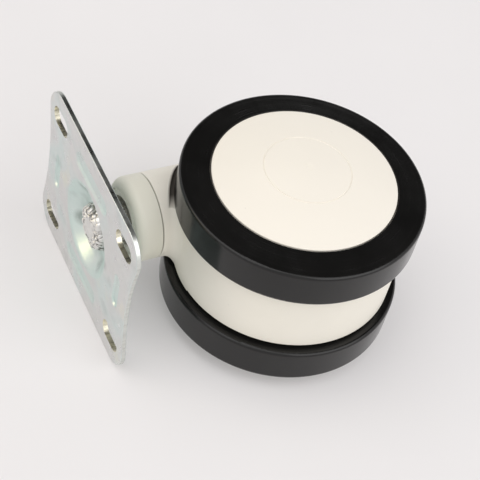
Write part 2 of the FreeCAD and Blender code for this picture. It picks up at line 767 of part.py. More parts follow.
def make_wheel_core(side, frame):
    """Wheel core: rim under the tyre, web, and a hub that holds the bearing against a lip."""
    hub = "wheel_outer_radius + core_hub_wall"
    web_in = "(%s + wheel_bearing_width / 2 - core_web / 2)" % BEARING_IN
    web_out = "(%s + core_web)" % web_in
    rim_in = "%s + rim_inset" % TYRE_IN
    hub_in = "%s - core_lip" % BEARING_IN
    turned(
        side + "_wheel_core",
        frame,
        [
            ("wheel_outer_radius - core_lip", hub_in),
            (hub, hub_in),
            (hub, web_in),
            (RIM_BORE, web_in),
            (RIM_BORE, rim_in),
            ("tyre_inner_radius", rim_in),
            ("tyre_inner_radius", CAP_SEAT),
            (RIM_BORE, CAP_SEAT),
            (RIM_BORE, web_out),
            (hub, web_out),
            (hub, BEARING_OUT),
            ("wheel_outer_radius", BEARING_OUT),
            ("wheel_outer_radius", BEARING_IN),
            ("wheel_outer_radius - core_lip", BEARING_IN),
        ],
    )


def dome_arc(sketch, radius_text, radius, middle, foot):
    """A dome's arc from its foot, at a distance from the axis, up to the axis."""
    lean = math.acos(foot / radius)
    arc = Part.ArcOfCircle(Part.Circle(Vector(0, middle, 0), Vector(0, 0, 1), radius), lean, math.pi / 2)
    index = sketch.addGeometry(arc)
    drive(sketch, "DistanceX", (index, 3), "0", 0.0)
    drive(sketch, "DistanceY", (index, 3), DOME_MIDDLE, middle)
    drive(sketch, "Radius", (index,), radius_text, radius)
    drive(sketch, "DistanceX", (index, 2), "0", 0.0)
    return index


def cap_profile(sketch):
    """Half of the hub cap's section: domed shell, rim on the wheel core, and a skirt inside the core."""
    rim = SIZES["tyre_inner_radius"] - SIZES["cap_gap"]
    crown = SIZES["cap_crown"]
    dome = (rim**2 + crown**2) / (2 * crown)
    seat = SIZES["drum_half_width"] + SIZES["wheel_gap"] + SIZES["tyre_width"] - SIZES["cap_sink"]
    edge = seat + SIZES["cap_sink"] + SIZES["cap_proud"]
    middle = edge + crown - dome
    skirt_out = SIZES["tyre_inner_radius"] - SIZES["rim_wall"] - SIZES["seat_clearance"]
    skirt_in = skirt_out - SIZES["cap_skirt_wall"]
    skirt_end = seat - SIZES["cap_skirt_length"]
    inner = dome - SIZES["cap_wall"]
    outer_arc = dome_arc(sketch, DOME_RADIUS, dome, middle, rim)
    inner_arc = dome_arc(sketch, "%s - cap_wall" % DOME_RADIUS, inner, middle, skirt_in)
    skirt_out_text = "%s - seat_clearance" % RIM_BORE
    skirt_in_text = "%s - cap_skirt_wall" % skirt_out_text
    skirt_end_text = "%s - cap_skirt_length" % CAP_SEAT
    corners = [
        (Vector(skirt_in, skirt_end, 0), skirt_in_text, skirt_end_text),
        (Vector(skirt_out, skirt_end, 0), skirt_out_text, skirt_end_text),
        (Vector(skirt_out, seat, 0), skirt_out_text, CAP_SEAT),
        (Vector(rim, seat, 0), CAP_RADIUS, CAP_SEAT),
    ]
    under_dome = sketch.Geometry[inner_arc].StartPoint
    dome_edge = sketch.Geometry[outer_arc].StartPoint
    points = [under_dome] + [corner for corner, _, _ in corners] + [dome_edge]
    lines = [sketch.addGeometry(Part.LineSegment(*pair)) for pair in zip(points, points[1:])]
    tops = [sketch.Geometry[arc].EndPoint for arc in (outer_arc, inner_arc)]
    axis = sketch.addGeometry(Part.LineSegment(*tops))
    joints = [(first, 2, second, 1) for first, second in zip(lines, lines[1:])]
    joints += [(inner_arc, 1, lines[0], 1), (lines[-1], 2, outer_arc, 1)]
    joints += [(outer_arc, 2, axis, 1), (axis, 2, inner_arc, 2)]
    for joint in joints:
        sketch.addConstraint(Sketcher.Constraint("Coincident", *joint))
    for line, (corner, across, along) in zip(lines[1:], corners):
        drive(sketch, "DistanceX", (line, 1), across, corner.x)
        drive(sketch, "DistanceY", (line, 1), along, corner.y)
    for line in (lines[0], lines[-1]):
        sketch.addConstraint(Sketcher.Constraint("Vertical", line))


def make_hub_cap(side, frame):
    """Hub cap: a domed shell with a crisp edge, a fine ring engraved in its face, and a skirt."""
    label = side + "_hub_cap"
    body = new_body(label)
    sketch = new_sketch(body, label + "_profile", "XZ_Plane")
    cap_profile(sketch)
    revolve(body, sketch, label + "_turn")
    edge = SIZES["drum_half_width"] + SIZES["wheel_gap"] + SIZES["tyre_width"] + SIZES["cap_proud"]
    rim = SIZES["tyre_inner_radius"] - SIZES["cap_gap"]
    round_edges(body, side + "_cap_edge", "cap_edge_round", lambda ring: is_ring(ring, rim, edge))
    ring_height = "%s + sqrt(%s^2 - cap_ring_radius^2)" % (DOME_MIDDLE, DOME_RADIUS)
    ring_cut(body, side + "_cap_ring", "cap_ring_radius", ring_height, "cap_ring_width / 2")
    keep(body, label, frame)


def build():
    """Make every sub-part in the order in which the caster is put together."""
    make_sheet()
    make_top_plate()
    make_kingpin()
    ball_bearing("swivel_bearing", SWIVEL, "swivel", "-(%s - swivel_bearing_width / 2)" % SWIVEL_SEAT)
    clip_top = "-(%s + clip_clearance / 2)" % SWIVEL_SEAT
    circlip("kingpin_circlip", SWIVEL, "swivel_bore_radius", clip_top, "-")
    make_neck_collar()
    make_fork_housing()
    bush_bore = "kingpin_tail_radius + running_clearance"
    bush_low = "-(bush_depth + bush_length)"
    turned(
        "kingpin_bush",
        SWIVEL,
        [
            (bush_bore, bush_low),
            ("bush_radius", bush_low),
            ("bush_radius", "-bush_depth"),
            (bush_bore, "-bush_depth"),
        ],
    )
    make_axle()
    make_wheel("right", RIGHT)
    make_wheel("left", LEFT)
    doc.recompute()


def check():
    """Stop if any object of the document failed or a sub-part isn't the solid that it should be."""
    for item in doc.Objects:
        if "Invalid" in item.State or "Error" in item.State:
            raise RuntimeError("%s failed: %s" % (item.Name, item.State))
    for item, solids in parts:
        shape = item.Shape
        if shape.isNull() or not shape.isValid():
            raise RuntimeError("%s has no valid shape" % item.Label)
        if len(shape.Solids) != solids:
            raise RuntimeError("%s has %d solids, not %d" % (item.Label, len(shape.Solids), solids))


def write():
    """Write each sub-part's shape to a file of its own name."""
    os.makedirs("parts", exist_ok=True)
    for item, _ in parts:
        item.Shape.exportStep(os.path.join("parts", item.Label + ".step"))
        print("%s %.1f mm3" % (item.Label, item.Shape.Volume))


build()
check()
write()
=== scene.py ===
"""Looks of a twin-wheel swivel caster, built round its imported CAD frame.

Row frame: metres, +Z up along the swivel axis, origin at the middle of the plate's upper face, the wheels
trailing towards -X and the axle along Y. The caster lies on the table as it was photographed, on its left
wheel and on the plate's left edge, so the table is the plane that those two rest on.
"""

import logging
import math
from dataclasses import dataclass
from enum import Enum

import bmesh
import bpy
from mathutils import Matrix, Vector, noise


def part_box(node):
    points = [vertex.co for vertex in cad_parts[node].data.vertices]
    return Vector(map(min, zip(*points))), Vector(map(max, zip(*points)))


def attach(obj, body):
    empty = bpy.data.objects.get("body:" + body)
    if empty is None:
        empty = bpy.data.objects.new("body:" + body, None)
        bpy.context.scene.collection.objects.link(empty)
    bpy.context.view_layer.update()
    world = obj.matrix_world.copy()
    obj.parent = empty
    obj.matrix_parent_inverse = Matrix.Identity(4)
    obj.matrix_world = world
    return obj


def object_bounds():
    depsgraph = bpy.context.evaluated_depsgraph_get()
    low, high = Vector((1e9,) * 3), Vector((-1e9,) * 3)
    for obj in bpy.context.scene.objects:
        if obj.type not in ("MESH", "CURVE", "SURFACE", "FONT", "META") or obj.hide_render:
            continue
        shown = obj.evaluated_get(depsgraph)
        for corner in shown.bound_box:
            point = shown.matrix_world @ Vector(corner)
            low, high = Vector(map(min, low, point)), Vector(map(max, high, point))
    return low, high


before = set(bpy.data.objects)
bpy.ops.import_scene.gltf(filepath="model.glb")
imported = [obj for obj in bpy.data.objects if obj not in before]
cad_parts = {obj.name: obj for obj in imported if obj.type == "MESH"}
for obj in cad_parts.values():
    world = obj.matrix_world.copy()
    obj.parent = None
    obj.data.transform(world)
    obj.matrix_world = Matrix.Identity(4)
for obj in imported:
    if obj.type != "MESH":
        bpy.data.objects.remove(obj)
CAD_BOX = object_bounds()

LOG = logging.getLogger("caster")
MM = 0.001

Pair = tuple[float, float]
Triple = tuple[float, float, float]
Colour = Triple
Stops = tuple[tuple[float, Colour], ...]
Material = bpy.types.Material
Piece = bpy.types.Object
Socket = bpy.types.NodeSocket
Tree = bpy.types.NodeTree

EVEN: Triple = (1.0, 1.0, 1.0)

# Most of a noise lies between these two values
NOISE_ENDS: Pair = (0.3, 0.7)

# A Mix node repeats its sockets' names for each kind of data, so those for colours go by number
MIX_UNDER = 6
MIX_OVER = 7
MIX_RESULT = 2


class Body(Enum):
    """The caster's rigid bodies, by their names in the frame."""

    PLATE = "plate"
    FORK = "fork"
    RIGHT_WHEEL = "right_wheel"
    LEFT_WHEEL = "left_wheel"


class Side(Enum):
    """The two sides of the drum, by the first word of their nodes' names."""

    RIGHT = "right"
    LEFT = "left"


class Coords(Enum):
    """What a material can read of a surface point."""

    PLACE = "Object"
    FACING = "Normal"


class Axis(Enum):
    """The frame's axes."""

    X = "X"
    Y = "Y"
    Z = "Z"


@dataclass(frozen=True)
class Blots:
    """Fractal noise: the size of its largest blots in metres, its octaves, its factor along each axis."""

    size: float
    octaves: float = 3.0
    stretch: Triple = EVEN


@dataclass(frozen=True)
class Span:
    """A stretch of a factor, and the values that its two ends become."""

    start: float
    end: float
    first: float
    last: float


@dataclass(frozen=True)
class Relief:
    """Relief in the shading: its height in metres, and the share of it that shows."""

    height: float
    strength: float


class Graph:
    """A material's node tree round one Principled shader."""

    def __init__(self, name: str) -> None:
        """Start an empty material with its shader joined to its output.

        Args:
            name: the material's name.
        """
        self.material = bpy.data.materials.new(name)
        self.material.use_nodes = True
        self.tree = self.material.node_tree
        self.tree.nodes.clear()
        self.output = self.tree.nodes.new("ShaderNodeOutputMaterial")
        self.shader = self.tree.nodes.new("ShaderNodeBsdfPrincipled")
        self.join(self.shader.outputs["BSDF"], self.output.inputs["Surface"])

    def join(self, start: Socket, end: Socket) -> None:
        """Link one socket to another."""
        self.tree.links.new(start, end)

    def set(self, **values: float) -> None:
        """Set the shader's own sockets.

        Args:
            values: socket names in lower case with underscores, and their numbers.
        """
        for key, value in values.items():
            name = key.replace("_", " ").title().replace("Ior", "IOR")
            self.shader.inputs[name].default_value = value

    def place(self, stretch: Triple = EVEN) -> Socket:
        """A point's place, stretched per axis.

        Args:
            stretch: factor along each axis.
        Returns:
            The vector socket.
        """
        coords = self.tree.nodes.new("ShaderNodeTexCoord").outputs[Coords.PLACE.value]
        if stretch == EVEN:
            return coords
        mapping = self.tree.nodes.new("ShaderNodeMapping")
        mapping.inputs["Scale"].default_value = stretch
        self.join(coords, mapping.inputs["Vector"])
        return mapping.outputs["Vector"]

    def noise(self, blots: Blots) -> Socket:
        """Fractal noise.

        Args:
            blots: its recipe.
        Returns:
            The factor socket.
        """
        node = self.tree.nodes.new("ShaderNodeTexNoise")
        node.inputs["Scale"].default_value = 1.0 / blots.size
        node.inputs["Detail"].default_value = blots.octaves
        self.join(self.place(blots.stretch), node.inputs["Vector"])
        return node.outputs["Fac"]

    def cells(self, pitch: float) -> Socket:
        """Distance to the nearest of scattered points.

        Args:
            pitch: distance between the points, in metres.
        Returns:
            The distance socket, as a share of the pitch.
        """
        node = self.tree.nodes.new("ShaderNodeTexVoronoi")
        node.inputs["Scale"].default_value = 1.0 / pitch
        self.join(self.place(), node.inputs["Vector"])
        return node.outputs["Distance"]

    def from_line(self, middle: Vector, axis: Axis, mirrored: bool = False) -> Socket:
        """Distance from a line along one of the axes.

        Args:
            middle: a point of the line.
            axis: the axis that it runs along.
            mirrored: whether the frame's planes mirror the line.
        Returns:
            The distance socket, in metres.
        """
        coords = self.place()
        if mirrored:
            folded = self.tree.nodes.new("ShaderNodeVectorMath")
            folded.operation = "ABSOLUTE"
            self.join(coords, folded.inputs[0])
            coords = folded.outputs["Vector"]
        across = Vector([float(other is not axis) for other in Axis])
        mapping = self.tree.nodes.new("ShaderNodeMapping")
        mapping.inputs["Location"].default_value = -middle * across
        mapping.inputs["Scale"].default_value = across
        self.join(coords, mapping.inputs["Vector"])
        length = self.tree.nodes.new("ShaderNodeVectorMath")
        length.operation = "LENGTH"
        self.join(mapping.outputs["Vector"], length.inputs[0])
        return length.outputs["Value"]

    def rings(self, reach: Socket, pitch: float) -> Socket:
        """Uneven rings round a line.

        Args:
            reach: distance from the line.
            pitch: distance between the rings, in metres.
        Returns:
            The factor socket.
        """
        node = self.tree.nodes.new("ShaderNodeTexNoise")
        node.noise_dimensions = "1D"
        node.inputs["Scale"].default_value = 1.0 / pitch
        self.join(reach, node.inputs["W"])
        return node.outputs["Fac"]

    def along(self, coords: Coords, axis: Axis) -> Socket:
        """The part along an axis of a point's place or of the way it faces.

        Args:
            coords: which of the two.
            axis: the axis.
        Returns:
            The number socket.
        """
        split = self.tree.nodes.new("ShaderNodeSeparateXYZ")
        source = self.tree.nodes.new("ShaderNodeTexCoord").outputs[coords.value]
        self.join(source, split.inputs["Vector"])
        return split.outputs[axis.value]

    def size(self, number: Socket) -> Socket:
        """A number without its sign.

        Args:
            number: the number.
        Returns:
            The result socket.
        """
        node = self.tree.nodes.new("ShaderNodeMath")
        node.operation = "ABSOLUTE"
        self.join(number, node.inputs[0])
        return node.outputs["Value"]

    def product(self, *factors: Socket) -> Socket:
        """Multiply numbers that vary over the surface.

        Args:
            factors: the numbers.
        Returns:
            The result socket.
        """
        result = factors[0]
        for factor in factors[1:]:
            node = self.tree.nodes.new("ShaderNodeMath")
            node.operation = "MULTIPLY"
            self.join(result, node.inputs[0])
            self.join(factor, node.inputs[1])
            result = node.outputs["Value"]
        return result

    def spread(self, fac: Socket, span: Span) -> Socket:
        """Stretch a factor's range over another, clamped.

        Args:
            fac: the factor.
            span: its range and the values that the ends become.
        Returns:
            The result socket.
        """
        node = self.tree.nodes.new("ShaderNodeMapRange")
        self.join(fac, node.inputs["Value"])
        node.inputs["From Min"].default_value = span.start
        node.inputs["From Max"].default_value = span.end
        node.inputs["To Min"].default_value = span.first
        node.inputs["To Max"].default_value = span.last
        return node.outputs["Result"]

    def scaled(self, fac: Socket, share: float) -> Socket:
        """A share of a factor that goes from 0 to 1."""
        return self.spread(fac, Span(0.0, 1.0, 0.0, share))

    def ramp(self, fac: Socket, stops: Stops) -> Socket:
        """Colour by a factor.

        Args:
            fac: the factor.
            stops: positions and colours, lowest first.
        Returns:
            The colour socket.
        """
        node = self.tree.nodes.new("ShaderNodeValToRGB")
        marks = node.color_ramp.elements
        while len(marks) < len(stops):
            marks.new(stops[-1][0])
        for mark, (position, colour) in zip(marks, stops):
            mark.position = position
            mark.color = (*colour, 1.0)
        self.join(fac, node.inputs["Fac"])
        return node.outputs["Color"]

    def blend(self, fac: Socket, first: Colour, last: Colour, ends: Pair = NOISE_ENDS) -> Socket:
        """Go from one colour to another.

        Args:
            fac: the factor.
            first: colour up to the first of the ends.
            last: colour from the last of the ends.
            ends: where the change begins and ends.
        Returns:
            The colour socket.
        """
        return self.ramp(fac, tuple(zip(ends, (first, last))))

    def tint(self, under: Socket, over: Colour, share: Socket) -> Socket:
        """Lay one colour over another.

        Args:
            under: the colour below.
            over: the colour laid over it.
            share: how much of it shows.
        Returns:
            The mixed colour socket.
        """
        node = self.tree.nodes.new("ShaderNodeMix")
        node.data_type = "RGBA"
        self.join(share, node.inputs["Factor"])
        self.join(under, node.inputs[MIX_UNDER])
        node.inputs[MIX_OVER].default_value = (*over, 1.0)
        return node.outputs[MIX_RESULT]

    def bump(self, height: Socket, relief: Relief, under: Socket | None = None) -> Socket:
        """Relief in the shading.

        Args:
            height: the relief's form, from 0 to 1.
            relief: its height and strength.
            under: a relief below it, or None.
        Returns:
            The normal socket.
        """
        node = self.tree.nodes.new("ShaderNodeBump")
        node.inputs["Distance"].default_value = relief.height
        node.inputs["Strength"].default_value = relief.strength
        self.join(height, node.inputs["Height"])
        if under is not None:
            self.join(under, node.inputs["Normal"])
        return node.outputs["Normal"]

    def paint(self, colour: Socket, roughness: Socket | None = None, normal: Socket | None = None) -> None:
        """Join the finished colour, roughness and relief to the shader.

        Args:
            colour: the colour.
            roughness: the roughness, or None to leave the socket's number.
            normal: the relief, or None.
        """
        self.join(colour, self.shader.inputs["Base Color"])
        if roughness is not None:
            self.join(roughness, self.shader.inputs["Roughness"])
        if normal is not None:
            self.join(normal, self.shader.inputs["Normal"])


def shaded(colour: Colour, factor: float) -> Colour:
    """Darken or lighten a colour by a factor."""
    return tuple(min(1.0, part * factor) for part in colour)


def axle_middle() -> Vector:
    """Middle of the axle, which both wheels turn on."""
    low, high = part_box("axle")
    return (low + high) / 2


def seen_rays(tree: Tree) -> Socket:
    """Tell the rays that show a surface from those that light another one.

    Args:
        tree: the node tree to build in.
    Returns:
        A socket that is 1 for camera, glossy and transmission rays.
    """
    path = tree.nodes.new("ShaderNodeLightPath")
    seen = path.outputs["Is Camera Ray"]
    for name in ("Is Glossy Ray", "Is Transmission Ray"):
        either = tree.nodes.new("ShaderNodeMath")
        either.operation = "MAXIMUM"
        tree.links.new(seen, either.inputs[0])
        tree.links.new(path.outputs[name], either.inputs[1])
        seen = either.outputs["Value"]
    return seen


def mix_shaders(tree: Tree, share: Socket, first: Socket, second: Socket) -> Socket:
    """Mix two shaders.

    Args:
        tree: the node tree to build in.
        share: share of the second.
        first: the first shader.
        second: the second shader.
    Returns:
        The mixed shader's socket.
    """
    node = tree.nodes.new("ShaderNodeMixShader")
    for source, socket in zip((share, first, second), node.inputs):
        tree.links.new(source, socket)
    return node.outputs["Shader"]


@dataclass(frozen=True)
class Layer:
    """A colour that lies over another in blots."""

    colour: Colour
    blots: Blots
    share: Span

    def lay(self, graph: Graph, under: Socket, where: Socket | None = None) -> Socket:
        """Lay the colour on.

        Args:
            graph: the material's nodes.
            under: the colour below.
            where: share that keeps it to one place, or None for everywhere.
        Returns:
            The mixed colour socket.
        """
        share = graph.spread(graph.noise(self.blots), self.share)
        if where is not None:
            share = graph.product(share, where)
        return graph.tint(under, self.colour, share)


@dataclass(frozen=True)
class MouldedPlastic:
    """Satin moulded plastic: a little cloudy, with specks, slight sinks and the fine grain of its mould."""

    name: str
    colour: Colour
    roughness: float = 0.42
    cloud: float = 0.03
    ior: float = 1.49
    clouds: Blots = Blots(30.0 * MM, 4.0)
    speck_pitch: float = 9.0 * MM
    speck_share: Span = Span(0.02, 0.05, 0.22, 0.0)
    speck_shade: float = 0.62
    wear: Blots = Blots(12.0 * MM, 5.0)
    worn_ends: Pair = (0.25, 0.75)
    worn_change: float = 0.06
    grain: Blots = Blots(0.6 * MM, 2.0)
    grain_relief: Relief = Relief(0.02 * MM, 0.5)
    sinks: Blots = Blots(20.0 * MM, 2.0)
    sink_relief: Relief = Relief(0.1 * MM, 0.35)

    def material(self) -> Material:
        """Build the material.

        Returns:
            The material.
        """
        graph = Graph(self.name)
        graph.set(ior=self.ior)
        dark = shaded(self.colour, 1.0 - self.cloud)
        light = shaded(self.colour, 1.0 + self.cloud / 2)
        colour = graph.blend(graph.noise(self.clouds), dark, light)
        specks = graph.spread(graph.cells(self.speck_pitch), self.speck_share)
        colour = graph.tint(colour, shaded(self.colour, self.speck_shade), specks)
        # Painted shade in the hollows, for the mouldings that have it
        colour = self.paint_shade(graph, colour)
        worn = Span(*self.worn_ends, self.roughness - self.worn_change, self.roughness + self.worn_change)
        grain = graph.bump(graph.noise(self.grain), self.grain_relief)
        sunk = graph.bump(graph.noise(self.sinks), self.sink_relief, grain)
        graph.paint(colour, graph.spread(graph.noise(self.wear), worn), sunk)
        return graph.material

    def paint_shade(self, graph: Graph, colour: Socket) -> Socket:
        """Paint shade into the moulding's hollows: none on a plain one.

        Args:
            graph: the material's nodes, not used by a plain moulding.
            colour: the colour before any painted shade.
        Returns:
            The colour with its painted shade.
        """
        return colour


@dataclass(frozen=True)
class CollarPlastic(MouldedPlastic):
    """The collar's plastic, with painted shade in the seam below it."""

    seam_height: float = -26.3 * MM
    seam_shade_fade: float = 0.1 * MM
    dust_and_shade_share: float = 0.85
    seam_shade_factor: float = 0.35

    def paint_shade(self, graph: Graph, colour: Socket) -> Socket:
        """Paint shade into the seam.

        Args:
            graph: the material's nodes.
            colour: the colour before any painted shade.
        Returns:
            The colour with its painted shade.
        """
        # Painted shade: the plastic darkens in the seam's groove below the collar
        seam = Span(self.seam_height, self.seam_height + self.seam_shade_fade, self.dust_and_shade_share, 0.0)
        seam_shaded = graph.spread(graph.along(Coords.PLACE, Axis.Z), seam)
        return graph.tint(colour, shaded(self.colour, self.seam_shade_factor), seam_shaded)


@dataclass(frozen=True)
class HousingPlastic(MouldedPlastic):
    """The housing's plastic, with painted shade where the neck is cut back round the tyres."""

    drum_half: float = 14.5 * MM
    drum_fade: float = 0.1 * MM
    notch_radius: float = 51.7 * MM
    notch_fade: float = 0.9 * MM
    notch_ahead: Span = Span(-10.5 * MM, -4.0 * MM, 0.25, 1.0)
    notch_shade: Colour = (0.075, 0.058, 0.045)
    notch_shade_share: float = 0.92

    def paint_shade(self, graph: Graph, colour: Socket) -> Socket:
        """Paint dark brown shade into the two notches.

        Args:
            graph: the material's nodes.
            colour: the colour before any painted shade.
        Returns:
            The colour with its painted shade.
        """
        # Painted shade: the notches' faces go dark brown beside the tyres
        notch = Span(self.notch_radius, self.notch_radius + self.notch_fade, self.notch_shade_share, 0.0)
        near = graph.spread(graph.from_line(axle_middle(), Axis.Y), notch)
        beside_drum = Span(self.drum_half - self.drum_fade, self.drum_half, 0.0, 1.0)
        outside = graph.spread(graph.size(graph.along(Coords.PLACE, Axis.Y)), beside_drum)
        ahead = graph.spread(graph.along(Coords.PLACE, Axis.X), self.notch_ahead)
        return graph.tint(colour, self.notch_shade, graph.product(near, outside, ahead))


@dataclass(frozen=True)
class DarkSpot:
    """A round dark spot on the plate that fades from its core outwards, used for grey marks and for painted
    shade.
    """

    middle: Triple
    radius: float
    share: float
    core: float = 0.3

    def shade(self, graph: Graph) -> Socket:
        """How much of the mark shows.

        Args:
            graph: the material's nodes.
        Returns:
            The share socket.
        """
        reach = graph.from_line(Vector(self.middle), Axis.Z)
        return graph.spread(reach, Span(self.core * self.radius, self.radius, self.share, 0.0))


@dataclass(frozen=True)
class ZincPlating:
    """Bright zinc on pressed steel: tinted clouds, grey marks, painted shade by the rivet, a teal dish,
    rolling marks, torn slots.
    """

    name: str = "zinc_plating"
    clouds: Blots = Blots(12.0 * MM, 5.0)
    cloud_stops: Stops = (
        (0.30, (0.63, 0.635, 0.635)),
        (0.48, (0.69, 0.69, 0.685)),
        (0.70, (0.655, 0.665, 0.66)),
    )
    blue: Layer = Layer((0.60, 0.74, 0.73), Blots(24.0 * MM, 2.0), Span(0.46, 0.64, 0.0, 0.45))
    yellow: Layer = Layer((0.77, 0.75, 0.60), Blots(17.0 * MM, 3.0), Span(0.58, 0.72, 0.0, 0.4))
    teal: Layer = Layer((0.61, 0.73, 0.70), Blots(18.0 * MM, 3.0), Span(0.35, 0.6, 0.55, 0.95))
    pressed_height: Span = Span(-0.25 * MM, 0.0, 1.0, 0.0)
    # Painted shade round the rivet head
    head_shade: Layer = Layer((0.34, 0.41, 0.38), Blots(9.0 * MM, 4.0), Span(0.36, 0.62, 0.05, 0.7))
    head_shade_reach: Span = Span(9.5 * MM, 17.0 * MM, 1.0, 0.0)
    smudge: Layer = Layer((0.42, 0.45, 0.44), Blots(11.0 * MM, 7.0), Span(0.57, 0.72, 0.0, 0.4))
    grime_and_shade: Layer = Layer((0.28, 0.33, 0.31), Blots(2.2 * MM, 4.0), Span(0.3, 0.65, 0.45, 1.0))
    dark_spots: tuple[DarkSpot, ...] = (
        # Grey marks on the plate itself
        DarkSpot((-10.4 * MM, 11.2 * MM, 0.0), 3.6 * MM, 0.6),
        DarkSpot((-20.3 * MM, -1.6 * MM, 0.0), 3.2 * MM, 0.45),
        # Painted dark reflection on the dish's upper wall
        DarkSpot((10.6 * MM, -12.7 * MM, 0.0), 3.6 * MM, 0.75),
        # Painted shade beside the rivet head
        DarkSpot((12.4 * MM, 7.4 * MM, 0.0), 4.2 * MM, 0.9),
    )
    edge_facing: Span = Span(0.1, 0.5, 1.0, 0.0)
    edge_colour: Colour = (0.69, 0.69, 0.66)
    edge_share: float = 0.8
    slot_place: Triple = (34.0 * MM, 27.75 * MM, 0.0)
    slot_reach: Span = Span(8.2 * MM, 8.8 * MM, 1.0, 0.0)
    slot_colour: Colour = (0.84, 0.79, 0.60)
    slot_share: float = 0.75
    torn: Blots = Blots(1.6 * MM, 5.0, (1.0, 1.0, 0.2))
    torn_relief: Relief = Relief(0.18 * MM, 0.6)
    outer_torn: float = 0.25
    pit_colour: Colour = (0.22, 0.21, 0.17)
    pit_share: Span = Span(0.34, 0.56, 0.75, 0.0)
    rolled: Blots = Blots(0.9 * MM, 3.0, (0.06, 1.0, 1.0))
    rolled_relief: Relief = Relief(0.03 * MM, 0.35)
    dents: Blots = Blots(3.0 * MM, 4.0)
    dent_relief: Relief = Relief(0.08 * MM, 0.4)
    wear: Blots = Blots(6.0 * MM, 6.0)
    worn: Span = Span(*NOISE_ENDS, 0.24, 0.44)

    def material(self) -> Material:
        """Build the material.

        Returns:
            The material.
        """
        graph = Graph(self.name)
        graph.set(metallic=1.0)
        edge = graph.spread(graph.size(graph.along(Coords.FACING, Axis.Z)), self.edge_facing)
        colour = graph.tint(self.face(graph), self.edge_colour, graph.scaled(edge, self.edge_share))
        slot = graph.spread(graph.from_line(Vector(self.slot_place), Axis.Z, mirrored=True), self.slot_reach)
        warm = graph.product(edge, graph.scaled(slot, self.slot_share))
        colour = graph.tint(colour, self.slot_colour, warm)
        torn = graph.noise(self.torn)
        rough = graph.product(edge, graph.spread(slot, Span(0.0, 1.0, self.outer_torn, 1.0)))
        pits = graph.product(rough, graph.spread(torn, self.pit_share))
        colour = graph.tint(colour, self.pit_colour, pits)
        relief = graph.bump(graph.noise(self.rolled), self.rolled_relief)
        relief = graph.bump(graph.product(rough, torn), self.torn_relief, relief)
        relief = graph.bump(graph.noise(self.dents), self.dent_relief, relief)
        graph.paint(colour, graph.spread(graph.noise(self.wear), self.worn), relief)
        return graph.material

    def face(self, graph: Graph) -> Socket:
        """Colour of the plate's faces.

        Args:
            graph: the material's nodes.
        Returns:
            The colour socket.
        """
        colour = graph.ramp(graph.noise(self.clouds), self.cloud_stops)
        colour = self.blue.lay(graph, colour)
        colour = self.yellow.lay(graph, colour)
        pressed = graph.spread(graph.along(Coords.PLACE, Axis.Z), self.pressed_height)
        colour = self.teal.lay(graph, colour, pressed)
        # Painted shade in blots round the rivet head
        round_head = graph.spread(graph.from_line(Vector(), Axis.Z), self.head_shade_reach)
        colour = self.head_shade.lay(graph, colour, round_head)
        colour = self.smudge.lay(graph, colour)
        # Grey marks on the plate, and painted shade at two of the spots
        for dark_spot in self.dark_spots:
            colour = self.grime_and_shade.lay(graph, colour, dark_spot.shade(graph))
        return colour


@dataclass(frozen=True)
class Steel:
    """Plain steel with machining marks."""

    name: str
    colour: Colour
    roughness: float
    smoother: float = 0.08
    rougher: float = 0.1
    clouds: Blots = Blots(4.0 * MM, 5.0)
    cloud_shade: float = 0.8
    wear: Blots = Blots(3.0 * MM, 4.0)
    marks: Blots = Blots(0.4 * MM, 2.0, (0.1, 0.1, 1.0))
    mark_relief: Relief = Relief(0.02 * MM, 0.6)

    def material(self) -> Material:
        """Build the material.

        Returns:
            The material.
        """
        graph = Graph(self.name)
        graph.set(metallic=1.0)
        dark = shaded(self.colour, self.cloud_shade)
        colour = graph.blend(graph.noise(self.clouds), dark, self.colour)
        worn = Span(*NOISE_ENDS, self.roughness - self.smoother, self.roughness + self.rougher)
        marks = graph.bump(graph.noise(self.marks), self.mark_relief)
        graph.paint(colour, graph.spread(graph.noise(self.wear), worn), marks)
        return graph.material


@dataclass(frozen=True)
class BearingSteel(Steel):
    """Bright ground steel of rings and balls."""

    colour: Colour = (0.76, 0.76, 0.77)
    roughness: float = 0.16


@dataclass(frozen=True)
class ShieldSteel(Steel):
    """Duller sheet steel of the bearings' shields."""

    colour: Colour = (0.55, 0.55, 0.55)
    roughness: float = 0.34


@dataclass(frozen=True)
class SpringSteel(Steel):
    """Blackened spring steel of the circlips."""

    colour: Colour = (0.20, 0.20, 0.21)
    roughness: float = 0.4


@dataclass(frozen=True)
class PeenedSteel:
    """Hammered steel: bright on its lumps, with painted shade down in the cracks that its mesh marks."""

    name: str = "peened_steel"
    bright: Colour = (0.80, 0.79, 0.77)
    dull_shade: float = 0.85
    clouds: Blots = Blots(2.0 * MM, 5.0)
    crack_mark: str = "crack"
    crack_shade_colour: Colour = (0.06, 0.06, 0.05)
    crack_share: Span = Span(0.1, 0.7, 0.0, 0.85)
    dents: Blots = Blots(1.2 * MM, 2.0)
    dent_relief: Relief = Relief(0.1 * MM, 0.6)
    wear: Blots = Blots(3.0 * MM, 4.0)
    worn: Span = Span(*NOISE_ENDS, 0.28, 0.42)

    def material(self) -> Material:
        """Build the material.

        Returns:
            The material.
        """
        graph = Graph(self.name)
        graph.set(metallic=1.0)
        dull = shaded(self.bright, self.dull_shade)
        colour = graph.blend(graph.noise(self.clouds), dull, self.bright)
        # Painted shade: the cracks that the mesh marks are coloured near black
        mark = graph.tree.nodes.new("ShaderNodeAttribute")
        mark.attribute_name = self.crack_mark
        colour = graph.tint(colour, self.crack_shade_colour, graph.spread(mark.outputs["Fac"], self.crack_share))
        dents = graph.bump(graph.noise(self.dents), self.dent_relief)
        graph.paint(colour, graph.spread(graph.noise(self.wear), self.worn), dents)
        return graph.material


